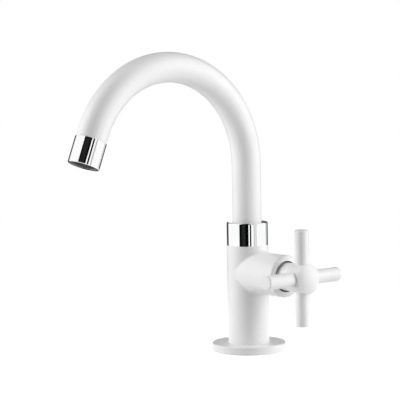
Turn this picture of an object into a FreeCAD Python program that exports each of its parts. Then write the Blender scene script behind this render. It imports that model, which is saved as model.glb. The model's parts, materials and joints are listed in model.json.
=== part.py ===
import FreeCAD, Part
import math
import os
import Sketcher
from types import SimpleNamespace

# Basin tap with a swivelling swan-neck spout and a quarter-turn cross handle.
# Millimetres and degrees. Z is up, the origin is the middle of the face that stands on the deck,
# the spout reaches towards -Y and the valve points along +X.

SIZES = {
    # Fits shared by all pieces
    "overrun": 2.0,
    "fit_gap": 0.03,
    "running_gap": 0.05,
    "clear_gap": 0.3,
    "end_float": 0.06,
    # Base flange and its gasket
    "flange_radius": 28.0,
    "flange_height": 5.8,
    "flange_edge": 0.8,
    "flange_rim": 2.5,
    "gasket_width": 6.5,
    "gasket_height": 2.4,
    # Shank below the deck, with its fixing
    "shank_radius": 10.48,
    "shank_wall": 3.48,
    "shank_tail": 19.4,
    "shank_chamfer": 1.0,
    "relief_drop": 2.0,
    "relief_width": 1.6,
    "relief_depth": 1.3,
    "shank_socket_depth": 14.8,
    "deck_thickness": 18.0,
    "fixing_gasket_radius": 22.0,
    "fixing_gasket_height": 3.0,
    "fixing_washer_radius": 21.0,
    "fixing_washer_height": 1.6,
    "back_nut_wall": 3.0,
    "back_nut_height": 8.0,
    # Column of the body: foot in the flange, threaded top for the collar, waterways
    "foot_wall": 2.5,
    "foot_room": 1.2,
    "valve_height": 59.6,
    "column_rise": 20.6,
    "column_shoulder": 2.7,
    "spigot_height": 7.8,
    "plug_bore_radius": 9.0,
    "plug_floor_wall": 2.4,
    "inlet_radius": 5.0,
    "inlet_offset": 2.5,
    "outlet_way_radius": 4.0,
    "outlet_way_inset": 11.0,
    "outlet_way_tilt": 45.0,
    # Side stub that houses the valve
    "seat_place": 8.0,
    "seat_hole_radius": 5.0,
    "chamber_room": 0.4,
    "gallery_inset": 4.5,
    "gallery_depth": 2.4,
    "valve_thread_step": 0.88,
    "valve_thread_length": 9.4,
    "seal_width": 0.92,
    "stub_wall": 4.25,
    "stub_cover": 2.6,
    "stub_edge": 1.4,
    # Headwork: caged bonnet, discs and seals
    "seat_gasket_height": 2.5,
    "seat_gasket_room": 0.6,
    "disc_height": 3.4,
    "port_inner_radius": 2.6,
    "port_outer_radius": 6.9,
    "port_half_angle": 36.0,
    "key_width": 3.6,
    "key_height": 1.2,
    "disc_lug_width": 2.4,
    "cage_bore_radius": 8.5,
    "cage_wall": 0.7,
    "cage_room": 1.4,
    "window_width": 9.0,
    "seal_height": 0.8,
    "shoulder_height": 1.9,
    "bonnet_hex_room": 1.0,
    "bonnet_hex_height": 4.3,
    "bonnet_wall": 1.7,
    "bonnet_neck_height": 5.0,
    # Spindle with its rings, clip, spline and screw
    "driver_height": 2.4,
    "flow_height": 4.9,
    "spindle_radius": 4.75,
    "collar_ring_step": 2.45,
    "collar_ring_height": 1.4,
    "stop_half_angle": 15.0,
    "stop_play_angle": 0.4,
    "thrust_washer_height": 0.8,
    "spindle_ring_cord": 0.7,
    "clip_height": 1.0,
    "clip_step": 1.25,
    "clip_depth": 0.75,
    "clip_opening": 4.2,
    "spline_shoulder": 0.94,
    "spline_length": 8.0,
    "spline_root_radius": 3.4,
    "spline_tooth_height": 0.55,
    "screw_radius": 2.0,
    "screw_length": 11.0,
    "screw_head_radius": 3.4,
    "screw_head_height": 2.2,
    # Cross handle
    "skirt_room": 1.0,
    "skirt_gap": 1.0,
    "skirt_wall": 1.6,
    "skirt_length": 8.0,
    "hub_taper": 4.0,
    "hub_flare": 0.5,
    "hub_rim": 1.5,
    "hub_web": 2.2,
    "hub_spline_room": 0.4,
    "screw_well_room": 0.8,
    "cross_rise": 1.2,
    "arm_radius": 5.25,
    "arm_reach": 35.4,
    "arm_edge": 0.9,
    "arm_seat_depth": 0.3,
    "arm_peg_step": 1.9,
    "arm_peg_room": 1.0,
    "dome_height": 3.4,
    "cap_peg_height": 3.6,
    # Swivel collar, its bearings and the plug of the spout
    "collar_step": 0.1,
    "collar_edge": 0.9,
    "collar_lip": 2.7,
    "collar_lip_width": 2.0,
    "swivel_washer_height": 0.8,
    "swivel_flange_height": 2.5,
    "bush_height": 3.6,
    "plug_room": 3.2,
    "plug_wall": 1.3,
    "plug_ring_cord": 1.0,
    "tail_grip": 9.0,
    # Spout tube
    "tube_radius": 11.0,
    "tube_wall": 1.2,
    "tube_rise": 44.2,
    "arch_radius": 72.6,
    "outlet_tilt": 21.2,
    "outlet_run": 4.4,
    # Outlet with its aerator
    "nipple_wall": 2.3,
    "outlet_thread_inset": 1.0,
    "outlet_thread_length": 7.0,
    "aerator_wall": 1.35,
    "aerator_edge": 0.3,
    "mouth_wall": 0.8,
    "aerator_washer_width": 2.8,
    "aerator_washer_height": 1.5,
    "insert_step": 0.6,
    "breaker_plate_height": 1.8,
    "breaker_wall": 1.0,
    "breaker_height": 4.4,
    "breaker_hole_radius": 0.7,
    "breaker_hole_place": 5.2,
    "breaker_cone_radius": 3.0,
    "grid_height": 5.7,
    "grid_flange_height": 2.6,
    "grid_setback": 0.5,
    "grid_rim": 1.0,
    "cell_wall": 0.4,
}
BREAKER_HOLES = 12
CELL_RINGS = 3
SPLINE_TEETH = 20
HANDLE_ARMS = 4
HEXAGON_SIDES = 6
PORTS = 2
PLUG_RING_SHARES = (0.31, 0.69)
SPINDLE_RING_SHARES = (0.27, 0.69)
SPLINE_ROOT_SHARE = 0.75
SPLINE_TIP_SHARE = 0.38

doc = FreeCAD.newDocument("basin_tap")
sheet = doc.addObject("Spreadsheet::Sheet", "sizes")
for row, (name, value) in enumerate(SIZES.items(), start=1):
    sheet.set(f"A{row}", name)
    sheet.set(f"B{row}", str(value))
    sheet.setAlias(f"B{row}", name)
doc.recompute()

pieces = []


class Size:
    """A number together with the sheet expression that gives it."""

    def __init__(self, value, text):
        self.value = value
        self.text = text

    def __add__(self, other):
        other = as_size(other)
        return Size(self.value + other.value, f"({self.text} + {other.text})")

    def __sub__(self, other):
        other = as_size(other)
        return Size(self.value - other.value, f"({self.text} - {other.text})")

    def __mul__(self, other):
        other = as_size(other)
        return Size(self.value * other.value, f"({self.text} * {other.text})")

    def __truediv__(self, other):
        other = as_size(other)
        return Size(self.value / other.value, f"({self.text} / {other.text})")

    def __neg__(self):
        return Size(-self.value, f"(0 - {self.text})")

    __radd__ = __add__
    __rmul__ = __mul__


def as_size(number):
    """Let a plain ratio or zero stand beside named sizes."""
    return number if isinstance(number, Size) else Size(float(number), str(float(number)))


def cosine(angle):
    return Size(math.cos(math.radians(angle.value)), f"cos({angle.text})")


def sine(angle):
    return Size(math.sin(math.radians(angle.value)), f"sin({angle.text})")


def square(size):
    return size * size


def square_root(size):
    return Size(math.sqrt(size.value), f"sqrt({size.text})")


s = SimpleNamespace(**{name: Size(float(sheet.get(name)), f"sizes.{name}") for name in SIZES})
zero = as_size(0)
half_turn = Size(180.0, "180")
quarter_turn = half_turn / 2
twelfth_turn = half_turn / 6

# Radii of the column, from the spout outwards
s.tube_bore = s.tube_radius - s.tube_wall
s.spigot_radius = s.tube_radius + s.collar_lip_width
s.swivel_flange_radius = s.spigot_radius - s.clear_gap
s.column_radius = s.spigot_radius + s.column_shoulder
s.collar_radius = s.column_radius - s.collar_step
s.plug_radius = s.plug_bore_radius - s.running_gap
s.plug_groove = s.plug_radius - s.plug_ring_cord * 2 - s.fit_gap
s.plug_hole = s.plug_groove - s.plug_wall
s.foot_radius = s.shank_radius + s.foot_wall
s.gasket_outer = s.flange_radius - s.flange_rim
s.gasket_inner = s.gasket_outer - s.gasket_width
s.back_nut_flats = (s.shank_radius + s.back_nut_wall) * 2

# Radii round the valve axis, from the discs outwards
s.disc_radius = s.cage_bore_radius - s.clear_gap
s.cage_radius = s.cage_bore_radius + s.cage_wall
s.chamber_radius = s.cage_radius + s.chamber_room
s.gallery_radius = s.chamber_radius + s.gallery_depth
s.valve_thread_radius = s.chamber_radius + s.valve_thread_step
s.counterbore_radius = s.valve_thread_radius + s.seal_width
s.shoulder_radius = s.counterbore_radius - s.clear_gap
s.stub_radius = s.counterbore_radius + s.stub_wall
s.bonnet_flats = (s.counterbore_radius - s.bonnet_hex_room) * 2 * cosine(twelfth_turn)
s.spindle_bore = s.spindle_radius + s.running_gap
s.spindle_groove = s.spindle_radius - s.spindle_ring_cord * 2 - s.fit_gap
s.bonnet_neck_radius = s.spindle_bore + s.bonnet_wall
s.collar_ring_radius = s.spindle_radius + s.collar_ring_step
s.clip_radius = s.spindle_radius + s.clip_step
s.clip_groove = s.spindle_radius - s.clip_depth
s.spline_tip_radius = s.spline_root_radius + s.spline_tooth_height
s.spline_pitch = s.spline_root_radius * 2 * math.pi / SPLINE_TEETH
s.skirt_radius = s.counterbore_radius - s.skirt_gap
s.skirt_bore = s.skirt_radius - s.skirt_wall
s.hub_radius = s.skirt_radius + s.hub_flare
s.screw_well = s.screw_head_radius + s.screw_well_room
s.arm_seat = square_root(square(s.hub_radius) - square(s.arm_radius)) - s.arm_seat_depth
s.arm_peg_radius = s.arm_radius - s.arm_peg_step
s.arm_peg_end = s.screw_well + s.arm_peg_room

# Places along the valve axis, from the seat outwards
s.cage_end = s.seat_place + s.cage_room
s.disc_start = s.seat_place + s.seat_gasket_height
s.moving_start = s.disc_start + s.disc_height + s.end_float / 2
s.driver_start = s.moving_start + s.disc_height
s.driver_end = s.driver_start + s.driver_height
s.collar_ring_start = s.driver_end + s.flow_height
s.thrust_start = s.collar_ring_start + s.collar_ring_height
s.guide_start = s.thrust_start + s.thrust_washer_height
s.valve_thread_start = s.collar_ring_start
s.counterbore_start = s.valve_thread_start + s.valve_thread_length
s.shoulder_start = s.counterbore_start + s.seal_height
s.hex_start = s.shoulder_start + s.shoulder_height
s.hex_top = s.hex_start + s.bonnet_hex_height
s.stub_end = s.hex_top + s.stub_cover
s.bonnet_top = s.hex_top + s.bonnet_neck_height
s.clip_start = s.bonnet_top + s.end_float
s.clip_end = s.clip_start + s.clip_height
s.spline_start = s.clip_end + s.spline_shoulder
s.spline_end = s.spline_start + s.spline_length
s.web_under = s.spline_end + s.hub_spline_room
s.web_top = s.web_under + s.hub_web
s.screw_tip = s.web_top - s.screw_length
s.skirt_start = s.hex_top + s.skirt_room
s.skirt_end = s.skirt_start + s.skirt_length
s.cross_place = s.web_top + s.cross_rise
s.hub_front = s.cross_place + s.arm_radius + s.hub_rim

# Heights, from the fixing below the deck up to the collar
s.fixing_top = -s.deck_thickness
s.washer_top = s.fixing_top - s.fixing_gasket_height
s.nut_top = s.washer_top - s.fixing_washer_height
s.nut_end = s.nut_top - s.back_nut_height
s.shank_end = s.nut_end - s.shank_tail
s.shank_socket_top = s.foot_room + s.shank_socket_depth
s.column_top = s.valve_height + s.column_rise
s.plug_floor = s.valve_height + s.chamber_radius + s.plug_floor_wall
s.spigot_top = s.column_top + s.spigot_height
s.plug_end = s.plug_floor + s.plug_room
s.swivel_flange_under = s.spigot_top + s.swivel_washer_height + s.end_float
s.swivel_flange_top = s.swivel_flange_under + s.swivel_flange_height
s.bush_start = s.swivel_flange_top + s.end_float
s.collar_lip_under = s.bush_start + s.bush_height
s.collar_top = s.collar_lip_under + s.collar_lip

# Path of the spout, and places along the jet from the end of the tube
s.arch_start = s.collar_top + s.tube_rise
s.arch_end_y = -(s.arch_radius + s.arch_radius * cosine(s.outlet_tilt))
s.arch_end_z = s.arch_start + s.arch_radius * sine(s.outlet_tilt)
s.outlet_y = s.arch_end_y - s.outlet_run * sine(s.outlet_tilt)
s.outlet_z = s.arch_end_z - s.outlet_run * cosine(s.outlet_tilt)
s.outlet_thread_radius = s.tube_radius - s.outlet_thread_inset
s.nipple_hole = s.tube_bore - s.nipple_wall
s.aerator_radius = s.outlet_thread_radius + s.aerator_wall
s.insert_radius = s.outlet_thread_radius - s.insert_step
s.mouth_radius = s.aerator_radius - s.mouth_wall
s.insert_start = s.outlet_thread_length + s.aerator_washer_height
s.grid_start = s.insert_start + s.breaker_height
s.insert_end = s.grid_start + s.grid_height
s.mouth_start = s.insert_end - s.grid_flange_height
s.aerator_length = s.insert_end + s.grid_setback


def bind(thing, path, size):
    """Tie one property of a document object to the sheet."""
    thing.setExpression(path, as_size(size).text)


def vector(x, y, z=zero):
    return FreeCAD.Vector(as_size(x).value, as_size(y).value, as_size(z).value)


def new_body(label):
    body = doc.addObject("PartDesign::Body", label)
    body.Label = label
    pieces.append(body)
    return body


def origin_part(body, role):
    return next(part for part in body.Origin.OriginFeatures if part.Role == role)


def new_sketch(body, name, plane="XY_Plane", lift=None, shift=None, turn=zero):
    """Sketch on an origin plane, lifted along its normal, shifted along its own Y, turned in its plane."""
    sketch = body.newObject("Sketcher::SketchObject", name)
    sketch.AttachmentSupport = (origin_part(body, plane), [""])
    sketch.MapMode = "FlatFace"
    sketch.AttachmentOffset.Rotation = FreeCAD.Rotation(FreeCAD.Vector(0, 0, 1), turn.value)
    if lift is not None:
        bind(sketch, "AttachmentOffset.Base.z", lift)
    if shift is not None:
        bind(sketch, "AttachmentOffset.Base.y", shift)
    return sketch


def fix(sketch, geometry, end, x=None, y=None):
    """Hold one point of a sketch at named distances from the sketch origin."""
    for kind, size in (("DistanceX", x), ("DistanceY", y)):
        if size is None:
            continue
        size = as_size(size)
        index = sketch.addConstraint(Sketcher.Constraint(kind, -1, 1, geometry, end, size.value))
        bind(sketch, f"Constraints[{index}]", size)


def fix_radius(sketch, geometry, radius):
    index = sketch.addConstraint(Sketcher.Constraint("Radius", geometry, radius.value))
    bind(sketch, f"Constraints[{index}]", radius)


def join(sketch, first, first_end, second, second_end):
    sketch.addConstraint(Sketcher.Constraint("Coincident", first, first_end, second, second_end))


def draw_outline(sketch, points):
    """Closed outline of straight lines through named points."""
    lines = []
    for start, end in zip(points, points[1:] + points[:1]):
        lines.append(sketch.addGeometry(Part.LineSegment(vector(*start), vector(*end)), False))
    for line, following in zip(lines, lines[1:] + lines[:1]):
        join(sketch, line, 2, following, 1)
    for line, (x, y) in zip(lines, points):
        fix(sketch, line, 1, x, y)


def draw_circle(sketch, radius, x=zero, y=zero):
    shape = Part.Circle(vector(x, y), FreeCAD.Vector(0, 0, 1), radius.value)
    circle = sketch.addGeometry(shape, False)
    fix(sketch, circle, 3, x, y)
    fix_radius(sketch, circle, radius)


def draw_hexagon(sketch, flats, x=zero, y=zero):
    """Hexagon with two flats square to the sketch's X axis."""
    apothem = flats / 2
    half_side = apothem * (sine(twelfth_turn) / cosine(twelfth_turn))
    corner = half_side * 2
    draw_outline(sketch, [
        (x + apothem, y - half_side), (x + apothem, y + half_side), (x, y + corner),
        (x - apothem, y + half_side), (x - apothem, y - half_side), (x, y - corner)])


def draw_sector(sketch, inner, outer, half_angle):
    """Ring sector centred on the sketch's X axis."""
    arcs = []
    for radius in (inner, outer):
        circle = Part.Circle(FreeCAD.Vector(), FreeCAD.Vector(0, 0, 1), radius.value)
        reach = math.radians(half_angle.value)
        arc = sketch.addGeometry(Part.ArcOfCircle(circle, -reach, reach), False)
        join(sketch, arc, 3, -1, 1)
        fix(sketch, arc, 1, radius * cosine(half_angle), -(radius * sine(half_angle)))
        fix(sketch, arc, 2, y=radius * sine(half_angle))
        arcs.append(arc)
    for end in (1, 2):
        points = [sketch.getPoint(arc, end) for arc in arcs]
        line = sketch.addGeometry(Part.LineSegment(*points), False)
        join(sketch, line, 1, arcs[0], end)
        join(sketch, line, 2, arcs[1], end)


def spin(body, name, points, kind="Revolution", axis="V_Axis", shift=None):
    """Turn an outline drawn on the XZ plane about a sketch axis, to add or to cut."""
    sketch = new_sketch(body, f"{name}_outline", "XZ_Plane", shift=shift)
    draw_outline(sketch, points)
    return spin_sketch(body, name, sketch, kind, axis)


def spin_sketch(body, name, sketch, kind="Revolution", axis="V_Axis"):
    turned = body.newObject(f"PartDesign::{kind}", name)
    turned.Profile = sketch
    turned.ReferenceAxis = (sketch, [axis])
    turned.Angle = 360
    return turned


def raise_sketch(body, name, sketch, length, kind="Pad", backward=False):
    """Push a sketch along its normal by a named length, to add or to cut."""
    pushed = body.newObject(f"PartDesign::{kind}", name)
    pushed.Profile = sketch
    pushed.Reversed = backward
    bind(pushed, "Length", length)
    return pushed


def repeat(body, name, features, count):
    """Repeat features evenly round the body's own Z axis."""
    pattern = body.newObject("PartDesign::PolarPattern", name)
    pattern.Originals = features
    pattern.Axis = (origin_part(body, "Z_Axis"), [""])
    pattern.Angle = 360
    pattern.Occurrences = count
    body.Tip = pattern
    return pattern


def bore(body, name, radius, start, length, tilt=zero):
    """Round hole from a start point, tilted from Z towards X."""
    hole = body.newObject("PartDesign::SubtractiveCylinder", name)
    turn = FreeCAD.Rotation(FreeCAD.Vector(0, 1, 0), tilt.value)
    hole.Placement = FreeCAD.Placement(vector(*start), turn)
    for letter, place in zip("xyz", start):
        bind(hole, f"Placement.Base.{letter}", place)
    if tilt is not zero:
        bind(hole, "Placement.Rotation.Angle", tilt)
    bind(hole, "Radius", radius)
    bind(hole, "Height", length)
    return hole


def round_rims(body, name, size, rims, kind="Fillet"):
    """Soften the circular edges that have the given (radius, place along the spin axis)."""
    doc.recompute()
    base = body.Tip
    near = s.fit_gap.value / 2
    names = []
    for number, edge in enumerate(base.Shape.Edges, start=1):
        if not isinstance(edge.Curve, Part.Circle):
            continue
        centre = edge.Curve.Center
        for radius, (x, y, z) in rims:
            same_place = centre.distanceToPoint(vector(x, y, z)) < near
            if same_place and abs(edge.Curve.Radius - radius.value) < near:
                names.append(f"Edge{number}")
    softened = body.newObject(f"PartDesign::{kind}", name)
    softened.Base = (base, names)
    bind(softened, "Radius" if kind == "Fillet" else "Size", size)
    return softened


def turn_onto_valve(piece, crossed=False):
    """Lay a piece modelled about Z along the valve axis, crossed by a quarter turn where asked."""
    turn = FreeCAD.Rotation(FreeCAD.Vector(0, 1, 0), 90)
    if crossed:
        turn = turn.multiply(FreeCAD.Rotation(FreeCAD.Vector(0, 0, 1), 90))
    piece.Placement = FreeCAD.Placement(FreeCAD.Vector(), turn)
    bind(piece, "Placement.Base.z", s.valve_height)


def turn_onto_outlet(piece):
    """Lay a piece modelled about Z along the jet, from the end of the tube."""
    turn = FreeCAD.Rotation(FreeCAD.Vector(1, 0, 0), half_turn.value - s.outlet_tilt.value)
    piece.Placement = FreeCAD.Placement(vector(zero, s.outlet_y, s.outlet_z), turn)
    bind(piece, "Placement.Base.y", s.outlet_y)
    bind(piece, "Placement.Base.z", s.outlet_z)
    bind(piece, "Placement.Rotation.Angle", half_turn - s.outlet_tilt)


def ring(label, inner, outer, start, end):
    """Flat ring between two radii and two heights."""
    body = new_body(label)
    spin(body, f"{label}_ring", [(inner, start), (outer, start), (outer, end), (inner, end)])
    return body


def o_ring(label, middle, cord, place):
    """Round sealing ring at a place along Z."""
    body = new_body(label)
    sketch = new_sketch(body, f"{label}_section", "XZ_Plane")
    draw_circle(sketch, cord, middle, place)
    spin_sketch(body, f"{label}_ring", sketch)
    return body


def make_base_flange():
    """Round flange on the deck, recessed underneath for its gasket."""
    body = new_body("base_flange")
    hole = s.foot_radius + s.fit_gap
    spin(body, "flange_turned", [
        (hole, zero), (s.gasket_inner, zero), (s.gasket_inner, s.gasket_height),
        (s.gasket_outer, s.gasket_height), (s.gasket_outer, zero),
        (s.flange_radius, zero), (s.flange_radius, s.flange_height), (hole, s.flange_height)])
    round_rims(body, "flange_edge", s.flange_edge, [
        (s.flange_radius, (zero, zero, s.flange_height))])


def make_base_gasket():
    ring("base_gasket", s.gasket_inner + s.fit_gap, s.gasket_outer - s.fit_gap,
         zero, s.gasket_height)


def make_tap_body():
    """Column with a side stub, drilled for the inlet, the valve seat and the way up to the spout."""
    body = new_body("tap_body")
    spin(body, "column", [
        (zero, s.foot_room), (s.foot_radius, s.foot_room), (s.foot_radius, s.flange_height),
        (s.column_radius, s.flange_height), (s.column_radius, s.column_top),
        (s.spigot_radius, s.column_top), (s.spigot_radius, s.spigot_top), (zero, s.spigot_top)])
    spin(body, "stub", [
        (zero, zero), (s.stub_end, zero), (s.stub_end, s.stub_radius), (zero, s.stub_radius)],
        axis="H_Axis", shift=s.valve_height)
    thread = s.valve_thread_radius + s.fit_gap
    mouth = s.stub_end + s.overrun
    gallery_start = s.seat_place + s.gallery_inset
    spin(body, "valve_chamber", [
        (s.seat_place, zero), (mouth, zero), (mouth, s.counterbore_radius),
        (s.counterbore_start, s.counterbore_radius), (s.counterbore_start, thread),
        (s.valve_thread_start, thread), (s.valve_thread_start, s.gallery_radius),
        (gallery_start, s.gallery_radius), (gallery_start, s.chamber_radius),
        (s.seat_place, s.chamber_radius)], "Groove", axis="H_Axis", shift=s.valve_height)
    socket = s.shank_radius + s.fit_gap
    below = s.foot_room - s.overrun
    spin(body, "shank_socket", [
        (zero, below), (socket, below), (socket, s.shank_socket_top), (zero, s.shank_socket_top)],
        "Groove")
    above = s.spigot_top + s.overrun
    spin(body, "plug_bore", [
        (zero, s.plug_floor), (s.plug_bore_radius, s.plug_floor),
        (s.plug_bore_radius, above), (zero, above)], "Groove")
    inlet_start = s.shank_socket_top - s.overrun
    inlet_length = s.valve_height + s.seat_hole_radius - inlet_start
    bore(body, "inlet_way", s.inlet_radius, (-s.inlet_offset, zero, inlet_start), inlet_length)
    bore(body, "seat_hole", s.seat_hole_radius, (-s.inlet_offset, zero, s.valve_height),
         s.inlet_offset + s.seat_place + s.overrun, quarter_turn)
    way_top = s.plug_floor + s.overrun
    way_length = (way_top - s.valve_height) / cosine(s.outlet_way_tilt)
    way_start = s.seat_place + s.outlet_way_inset - way_length * sine(s.outlet_way_tilt)
    bore(body, "outlet_way", s.outlet_way_radius, (way_start, zero, way_top), way_length,
         half_turn - s.outlet_way_tilt)
    round_rims(body, "stub_edge", s.stub_edge, [(s.stub_radius, (s.stub_end, zero, s.valve_height))])


def make_threaded_shank():
    """Hollow threaded tail: a fixing thread for the deck, a relief groove, then the supply thread."""
    body = new_body("threaded_shank")
    hole = s.shank_radius - s.shank_wall
    chamfered = s.shank_radius - s.shank_chamfer
    relief = s.shank_radius - s.relief_depth
    relief_top = s.nut_end - s.relief_drop
    relief_end = relief_top - s.relief_width
    spin(body, "shank", [
        (hole, s.shank_end), (chamfered, s.shank_end), (s.shank_radius, s.shank_end + s.shank_chamfer),
        (s.shank_radius, relief_end), (relief, relief_end),
        (relief, relief_top), (s.shank_radius, relief_top),
        (s.shank_radius, s.shank_socket_top - s.shank_chamfer), (chamfered, s.shank_socket_top),
        (hole, s.shank_socket_top)])


def make_fixing():
    """Rubber washer, steel washer and back nut that pull the tap down from under the deck."""
    hole = s.shank_radius + s.clear_gap
    ring("fixing_gasket", hole, s.fixing_gasket_radius, s.washer_top, s.fixing_top)
    ring("fixing_washer", hole, s.fixing_washer_radius, s.nut_top, s.washer_top)
    body = new_body("back_nut")
    sketch = new_sketch(body, "nut_hexagon", lift=s.nut_top)
    draw_hexagon(sketch, s.back_nut_flats)
    draw_circle(sketch, s.shank_radius + s.fit_gap)
    raise_sketch(body, "nut_block", sketch, s.back_nut_height, backward=True)
    trim_hexagon(body, "nut_corners", s.back_nut_flats, s.nut_end, s.nut_top)


def trim_hexagon(body, name, flats, low, high):
    """Turn the corners of a hexagon down to a thirty-degree bevel at both ends."""
    corner = flats / 2 / cosine(twelfth_turn)
    outside = corner + s.overrun
    depth = (outside - flats / 2) * (sine(twelfth_turn) / cosine(twelfth_turn))
    for end, place, inward in (("low", low, depth), ("high", high, -depth)):
        spin(body, f"{name}_{end}", [
            (flats / 2, place), (outside, place), (outside, place + inward)], "Groove")


def make_swivel_collar():
    """Nut on the column that keeps the spout down and lets it turn."""
    body = new_body("swivel_collar")
    thread = s.spigot_radius + s.fit_gap
    mouth = s.tube_radius + s.clear_gap
    spin(body, "collar", [
        (thread, s.column_top), (s.collar_radius, s.column_top), (s.collar_radius, s.collar_top),
        (mouth, s.collar_top), (mouth, s.collar_lip_under), (thread, s.collar_lip_under)])
    round_rims(body, "collar_edge", s.collar_edge, [(s.collar_radius, (zero, zero, s.collar_top))])


def make_swivel_bearings():
    """Plain washer under the spout's flange and bush round the tube above it."""
    ring("swivel_washer", s.plug_bore_radius + s.clear_gap, s.swivel_flange_radius,
         s.spigot_top, s.spigot_top + s.swivel_washer_height)
    ring("spout_bush", s.tube_radius + s.running_gap, s.spigot_radius,
         s.bush_start, s.collar_lip_under)


def make_spout_tail():
    """Flanged plug in the foot of the tube, with two grooves for its rings."""
    body = new_body("spout_tail")
    grip = s.tube_bore - s.fit_gap
    grip_top = s.swivel_flange_top + s.tail_grip
    half_groove = s.plug_ring_cord + s.running_gap
    points = [(s.plug_hole, s.plug_end), (s.plug_radius, s.plug_end)]
    length = s.swivel_flange_under - s.plug_end
    middles = [s.plug_end + length * share for share in PLUG_RING_SHARES]
    for middle in middles:
        points += [
            (s.plug_radius, middle - half_groove), (s.plug_groove, middle - half_groove),
            (s.plug_groove, middle + half_groove), (s.plug_radius, middle + half_groove)]
    points += [
        (s.plug_radius, s.swivel_flange_under), (s.swivel_flange_radius, s.swivel_flange_under),
        (s.swivel_flange_radius, s.swivel_flange_top), (grip, s.swivel_flange_top), (grip, grip_top),
        (s.plug_hole, grip_top)]
    spin(body, "tail", points)
    middle_radius = s.plug_groove + s.fit_gap + s.plug_ring_cord
    for label, middle in zip(("spout_ring_lower", "spout_ring_upper"), middles):
        o_ring(label, middle_radius, s.plug_ring_cord, middle)


def make_spout_tube():
    """Bent tube: a straight rise, one wide arch and a short run to the outlet."""
    body = new_body("spout_tube")
    path = new_sketch(body, "tube_path", "YZ_Plane")
    rise = path.addGeometry(
        Part.LineSegment(vector(zero, s.swivel_flange_top), vector(zero, s.arch_start)), False)
    centre = vector(-s.arch_radius, s.arch_start)
    circle = Part.Circle(centre, FreeCAD.Vector(0, 0, 1), s.arch_radius.value)
    sweep = math.radians(half_turn.value - s.outlet_tilt.value)
    arch = path.addGeometry(Part.ArcOfCircle(circle, 0, sweep), False)
    run = path.addGeometry(
        Part.LineSegment(vector(s.arch_end_y, s.arch_end_z), vector(s.outlet_y, s.outlet_z)), False)
    join(path, rise, 2, arch, 1)
    join(path, arch, 2, run, 1)
    fix(path, rise, 1, zero, s.swivel_flange_top)
    fix(path, rise, 2, zero, s.arch_start)
    fix(path, arch, 3, -s.arch_radius, s.arch_start)
    fix(path, arch, 2, y=s.arch_end_z)
    fix(path, run, 2, s.outlet_y, s.outlet_z)
    section = new_sketch(body, "tube_section", lift=s.swivel_flange_top)
    draw_circle(section, s.tube_radius)
    draw_circle(section, s.tube_bore)
    tube = body.newObject("PartDesign::AdditivePipe", "tube")
    tube.Profile = section
    tube.Spine = (path, [])


def make_outlet_nipple():
    """Threaded end let into the tube."""
    body = new_body("outlet_nipple")
    grip = s.tube_bore - s.fit_gap
    grip_start = -(s.outlet_run - s.clear_gap)
    spin(body, "nipple", [
        (s.nipple_hole, grip_start), (grip, grip_start), (grip, zero),
        (s.outlet_thread_radius, zero), (s.outlet_thread_radius, s.outlet_thread_length),
        (s.nipple_hole, s.outlet_thread_length)])
    turn_onto_outlet(body)


def make_aerator_housing():
    """Bright ring that screws over the outlet, with a wide mouth that takes the insert from below."""
    body = new_body("aerator_housing")
    thread = s.outlet_thread_radius + s.fit_gap
    seat = s.insert_radius + s.fit_gap
    spin(body, "housing", [
        (thread, zero), (s.aerator_radius, zero), (s.aerator_radius, s.aerator_length),
        (s.mouth_radius, s.aerator_length), (s.mouth_radius, s.mouth_start),
        (seat, s.mouth_start), (seat, s.insert_start), (thread, s.insert_start)])
    round_rims(body, "housing_edges", s.aerator_edge, [
        (s.aerator_radius, (zero, zero, zero)),
        (s.aerator_radius, (zero, zero, s.aerator_length))], "Chamfer")
    turn_onto_outlet(body)


def make_aerator_washer():
    hole = s.outlet_thread_radius - s.aerator_washer_width
    washer = ring("aerator_washer", hole, s.outlet_thread_radius - s.fit_gap,
                  s.outlet_thread_length, s.insert_start)
    turn_onto_outlet(washer)


def make_jet_breaker():
    """Perforated cup that splits the stream."""
    body = new_body("jet_breaker")
    inside = s.insert_radius - s.breaker_wall
    floor = s.insert_start + s.breaker_plate_height
    spin(body, "cup", [
        (zero, s.insert_start), (s.insert_radius, s.insert_start), (s.insert_radius, s.grid_start),
        (inside, s.grid_start), (inside, floor), (s.breaker_cone_radius, floor), (zero, s.grid_start)])
    sketch = new_sketch(body, "jet_hole_outline", lift=s.insert_start - s.overrun)
    draw_circle(sketch, s.breaker_hole_radius, s.breaker_hole_place)
    hole = raise_sketch(body, "jet_hole", sketch, s.breaker_plate_height + s.overrun * 2, "Pocket", True)
    repeat(body, "jet_holes", [hole], BREAKER_HOLES)
    turn_onto_outlet(body)


def make_flow_grid():
    """Honeycomb pressed into the mouth: one middle cell and three rings of cells, inside a flange."""
    body = new_body("flow_grid")
    flange = s.mouth_radius - s.fit_gap
    spin(body, "grid_block", [
        (zero, s.grid_start), (s.insert_radius, s.grid_start), (s.insert_radius, s.mouth_start),
        (flange, s.mouth_start), (flange, s.insert_end), (zero, s.insert_end)])
    pitch = (s.insert_radius - s.grid_rim) * 2 / (CELL_RINGS * 2 + 1)
    flats = pitch - s.cell_wall
    row_rise = pitch * cosine(twelfth_turn)
    depth = s.grid_height + s.overrun * 2
    middle = new_sketch(body, "middle_cell_outline", lift=s.grid_start - s.overrun)
    draw_hexagon(middle, flats)
    raise_sketch(body, "middle_cell", middle, depth, "Pocket", True)
    wedge = new_sketch(body, "cell_wedge_outline", lift=s.grid_start - s.overrun)
    for ring_number in range(1, CELL_RINGS + 1):
        for step in range(ring_number):
            draw_hexagon(wedge, flats, pitch * (ring_number - step / 2), row_rise * step)
    cells = raise_sketch(body, "cell_wedge", wedge, depth, "Pocket", True)
    repeat(body, "cells", [cells], HEXAGON_SIDES)
    turn_onto_outlet(body)


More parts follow.
